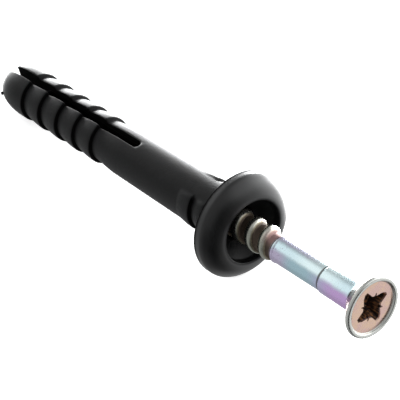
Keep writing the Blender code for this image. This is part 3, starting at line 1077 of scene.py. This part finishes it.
@dataclass
class HammerScrew:
    """The plated hammer screw: head with cross recess, shank, thread and point. Sizes in metres."""

    length: float = 54.62426 * MM
    stands_out: float = 25.3 * MM
    head_radius: float = 4.75 * MM
    head_rim: float = 0.65 * MM
    neck_radius: float = 2.33 * MM
    upper_radius: float = 2.25 * MM
    upper_length: float = 9.4 * MM
    shank_radius: float = 2.05 * MM
    shank_length: float = 10.1 * MM
    shoulder_radius: float = 2.15 * MM
    shoulder_length: float = 0.4 * MM
    thread_crest: float = 2.5 * MM
    thread_root: float = 1.85 * MM
    thread_pitch: float = 3.0 * MM
    thread_runout: float = 1.5 * MM
    ridge_half_width: float = 0.95 * MM
    point_length: float = 5.0 * MM
    bare_point: float = 1.5 * MM
    thread_phase: float = radians(9.0)
    wing: Wing = Wing(3.15 * MM, 1.5 * MM, 0.5 * MM, 3.1 * MM, 2.4 * MM)
    tick: Wing = Wing(2.35 * MM, 1.88 * MM, 0.16 * MM, 1.1 * MM, 0.9 * MM)
    cross_turn: float = radians(8.0)
    core_radius: float = 1.8 * MM
    core_depth: float = 3.0 * MM
    facets: int = 112
    thread_rows: int = 330
    point_rows: int = 40
    sharp: float = 46.0

    FACE = (
        (0.0, -0.40, 0.0),
        (3.30, -0.36, 0.20),
        (3.84, -0.42, 0.10),
        (3.97, -0.38, 0.05),
        (4.10, -0.06, 0.10),
        (4.38, 0.0, 0.12),
        (4.66, -0.1, 0.15),
        (4.75, -0.35, 0.12),
    )

    def build(self, plug: PlugFrame, finish: SteelFinish) -> bpy.types.Object:
        """Turns, threads, recesses and dresses the screw.

        Args:
            plug: The plug's frame.
            finish: The plated steel.

        Returns:
            The finished piece.
        """
        blank = Workshop.turn(self.outline(), self.facets)
        self.roll_thread(blank)
        bm = Workshop.cut(Workshop.piece("screw_blank", blank), self.recess_tools())
        lift = Matrix.Translation((0.0, 0.0, self.stands_out))
        place = plug.matrix @ lift
        piece = Workshop.finish("Hammer_screw", bm, place, finish.material(plug), self.sharp)
        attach(piece, Body.SCREW.value)
        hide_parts("hammer_screw")
        return piece

    @property
    def thread_top(self) -> float:
        """Height where the thread meets the shoulder, below the head's face."""
        return -self.upper_length - self.shank_length

    def outline(self) -> list[Point]:
        """The screw's turned outline without its thread, from the head's face to the point."""
        made = Outline(steps=4)
        made.extend((r * MM, z * MM, rounding * MM) for r, z, rounding in self.FACE)
        cone_end = -self.head_rim - (self.head_radius - self.neck_radius)
        groove = -self.upper_length
        shoulder = self.thread_top + self.shoulder_length
        made.add(self.head_radius, -self.head_rim, 0.12 * MM)
        made.add(self.neck_radius, cone_end, 0.5 * MM)
        made.add(self.upper_radius, cone_end - self.head_rim, 0.3 * MM)
        made.add(self.upper_radius - 0.06 * MM, groove + 0.25 * MM, 0.06 * MM)
        made.add(self.shank_radius - 0.08 * MM, groove, 0.04 * MM)
        made.add(self.shank_radius, groove - 0.25 * MM, 0.1 * MM)
        made.add(self.shank_radius, shoulder + 0.25 * MM, 0.12 * MM)
        made.add(self.shoulder_radius, shoulder, 0.12 * MM)
        made.add(self.shoulder_radius, self.thread_top + 0.15 * MM, 0.1 * MM)
        made.add(self.thread_root, self.thread_top - 0.2 * MM, 0.1 * MM)
        core_end = self.point_length - self.length
        first = self.thread_top - 0.3 * MM
        for row in range(self.thread_rows):
            made.add(self.thread_root, first + (core_end - first) * row / self.thread_rows)
        made.add(self.thread_root, core_end)
        for row in range(1, self.point_rows):
            share = row / self.point_rows
            made.add(self.thread_root * (1.0 - share), core_end - self.point_length * share)
        made.add(0.0, -self.length)
        return made.points()

    def ridge_height(self, from_crest: float) -> float:
        """Height of the rounded ridge above the core at a distance along the axis."""
        share = abs(from_crest) / self.ridge_half_width
        if share >= 1.0:
            return 0.0
        return (self.thread_crest - self.thread_root) * (1.0 - share**2.4) ** 0.75

    def roll_thread(self, bm: bmesh.types.BMesh) -> None:
        """Raises the helical ridge on the turned core."""
        bottom = self.bare_point - self.length
        for vertex in bm.verts:
            x, y, z = vertex.co
            radius = hypot(x, y)
            if z > self.thread_top - 0.15 * MM or radius < 0.02 * MM or z < bottom:
                continue
            turned = (atan2(y, x) - self.thread_phase) / tau
            along = (z - bottom) / self.thread_pitch - turned
            from_crest = (along - round(along)) * self.thread_pitch
            fade = min(max((self.thread_top - z) / self.thread_runout, 0.3), 1.0)
            start = min(max((z - bottom) / (0.6 * self.thread_pitch), 0.0), 1.0)
            taper = min((z + self.length) / self.point_length, 1.0)
            height = self.ridge_height(from_crest) * fade * start * taper
            vertex.co.x *= (radius + height) / radius
            vertex.co.y *= (radius + height) / radius
        bmesh.ops.recalc_face_normals(bm, faces=bm.faces)

    def recess_tools(self) -> list[bpy.types.Object]:
        """The recess's cutters: the wings, the ticks between them and the middle."""
        tools = []
        for index, wing in enumerate((self.wing, self.tick, self.wing, self.tick)):
            turn = self.cross_turn + index * 0.25 * pi
            tools.append(wing.tool(f"wing_tool_{index + 1}", turn))
        return [*tools, self.core_tool()]

    def core_tool(self) -> bpy.types.Object:
        """The cutter of the recess's tapered middle."""
        made = Outline()
        made.add(0.0, 1.0 * MM).add(self.core_radius, 1.0 * MM)
        made.add(self.core_radius, -0.15 * MM)
        made.add(0.5 * self.core_radius, 0.5 * MM - self.core_depth).add(0.0, -self.core_depth)
        return Workshop.piece("core_tool", Workshop.turn(made.points(), 24))


def direction(azimuth: float, elevation: float) -> Vector:
    """Unit vector at an azimuth from +X and an elevation, both in degrees."""
    az, el = radians(azimuth), radians(elevation)
    return Vector((cos(el) * cos(az), cos(el) * sin(az), sin(el)))


@dataclass(frozen=True)
class Panel:
    """A round soft-edged panel in the light tent.

    Args:
        azimuth: Direction of its middle in degrees from +X.
        elevation: Height of its middle in degrees.
        inner: Angle from the middle where it starts to fade, in degrees.
        outer: Angle from the middle where it ends, in degrees.
        strength: What it adds, or the share that a dark one takes away.
    """

    azimuth: float
    elevation: float
    inner: float
    outer: float
    strength: float

    def share(self, shader: Shader, toward: Value) -> Value:
        """1 in the panel's middle, 0 outside it, for the direction that is looked up."""
        middle = tuple(direction(self.azimuth, self.elevation))
        near = shader.output(shader.vector_math("DOT_PRODUCT", toward, middle), "Value")
        return shader.rise(near, cos(radians(self.outer)), cos(radians(self.inner)))


@dataclass
class Studio:
    """Plain pale floor, soft light and the camera.

    Args:
        aim: The point that the camera looks at, in metres.
        azimuth: Direction of the camera from the aim, in degrees from +X.
        elevation: Height of the camera above the aim, in degrees.
        roll: Turn of the camera about its own line of sight, in degrees.
        distance: From the aim to the camera, in metres.
        lens: Focal length in millimetres on a 36 mm square.
        surround: Brightness of the plain surround.
        tint: Colour of all the light.
        floor_glow: Light that the floor gives off, which keeps it white.
    """

    aim: Colour = (0.4307 * MM, 3.8630 * MM, 2.9400 * MM)
    azimuth: float = -40.2075
    elevation: float = 35.7206
    roll: float = 1.8625
    distance: float = 305.0 * MM
    lens: float = 180.0
    surround: float = 0.5
    tint: tuple[float, float, float, float] = (0.985, 0.995, 1.0, 1.0)
    floor_glow: float = 0.75

    FLOOR_GAP = 0.02 * MM
    DARK_PANELS = (
        Panel(-37.0, -24.0, 14.0, 40.0, 0.95),
        Panel(-12.0, 10.0, 14.0, 38.0, 0.95),
        Panel(-10.0, -58.0, 14.0, 34.0, 0.9),
    )
    BRIGHT_PANELS = (
        Panel(-149.0, 39.0, 8.0, 34.0, 0.5),
        Panel(-130.0, -8.0, 15.0, 45.0, 0.15),
        Panel(35.0, 44.0, 10.0, 34.0, 0.9),
        Panel(86.0, 10.0, 12.0, 48.0, 2.8),
        Panel(34.0, -30.0, 15.0, 38.0, 0.5),
    )
    WINDOW = Panel(136.0, -5.0, 30.0, 56.0, 22.0)
    WINDOW_HEIGHTS = (-0.5, 0.2)

    def build(self, lowest: float) -> None:
        """Sets up the whole studio.

        Args:
            lowest: Height of the object's lowest point.
        """
        self.lay_floor(lowest)
        self.light_world()
        self.place_camera()
        view = bpy.context.scene.view_settings
        view.view_transform = "Standard"
        view.look = "None"

    def lay_floor(self, lowest: float) -> None:
        """Lays the pale floor under the object."""
        bm = bmesh.new()
        place = Matrix.Translation((0.0, 0.0, lowest - self.FLOOR_GAP))
        bmesh.ops.create_grid(bm, x_segments=4, y_segments=4, size=1.5, matrix=place)
        floor = Workshop.piece("Floor", bm)
        made, shader = Shader.on_material("pale_floor")
        here = shader.output(shader.node("ShaderNodeTexCoord"), "Object")
        mottle = shader.noise(here, 9.0, 3.0)
        tone = shader.blend(mottle, (0.93, 0.93, 0.93), (0.96, 0.96, 0.96))
        shader.surface(
            {
                "Base Color": tone,
                "Roughness": 0.9,
                "Specular IOR Level": 0.1,
                "Emission Color": (1.0, 1.0, 1.0, 1.0),
                "Emission Strength": self.floor_glow,
            }
        )
        floor.data.materials.append(made)
        floor.visible_glossy = False

    def light_world(self) -> None:
        """Paints the light tent: dark and bright panels and a low window on a plain surround."""
        world = bpy.data.worlds.new("studio_light")
        bpy.context.scene.world = world
        world.use_nodes = True
        shader = Shader(world.node_tree)
        toward = shader.output(shader.node("ShaderNodeTexCoord"), "Generated")
        _, _, up = shader.parts(toward)
        light: Value | float = self.surround
        for panel in self.DARK_PANELS:
            light = light * (1.0 - panel.strength * panel.share(shader, toward))
        for panel in self.BRIGHT_PANELS:
            light = light + panel.strength * panel.share(shader, toward)
        low, high = self.WINDOW_HEIGHTS
        level = shader.band(up, low, high, 0.1)
        light = light + self.WINDOW.strength * self.WINDOW.share(shader, toward) * level
        sky = shader.node("ShaderNodeBackground", None, {"Color": self.tint, "Strength": light})
        shader.node("ShaderNodeOutputWorld", None, {"Surface": shader.output(sky)})

    def place_camera(self) -> None:
        """Places the camera at the fitted view."""
        back = direction(self.azimuth, self.elevation)
        right = Vector((0.0, 0.0, 1.0)).cross(back).normalized()
        up = back.cross(right)
        turn = Matrix((right, up, back)).transposed() @ Matrix.Rotation(radians(self.roll), 3, "Z")
        data = bpy.data.cameras.new("Camera")
        data.lens = self.lens
        data.sensor_width = 36.0
        data.clip_start = 0.01
        data.clip_end = 20.0
        camera = bpy.data.objects.new("Camera", data)
        bpy.context.scene.collection.objects.link(camera)
        camera.location = Vector(self.aim) + back * self.distance
        camera.rotation_euler = turn.to_euler()
        bpy.context.scene.camera = camera


def main() -> None:
    """Builds the sleeve, the screw and the studio."""
    logging.basicConfig(level=logging.INFO, format="%(name)s: %(message)s")
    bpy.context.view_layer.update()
    plug = PlugFrame.from_record(frame["record"])
    sleeve = Sleeve().build(plug, NylonFinish())
    screw = HammerScrew().build(plug, SteelFinish())
    lowest = 0.0
    for piece in (sleeve, screw):
        lowest = min(lowest, min(vertex.co.z for vertex in piece.data.vertices))
        LOG.info("%s: %d faces", piece.name, len(piece.data.polygons))
    Studio().build(lowest)
    LOG.info("axis lies %.2f degrees from level", degrees(asin(plug.matrix.col[2].z)))


if __name__ == "__main__":
    main()
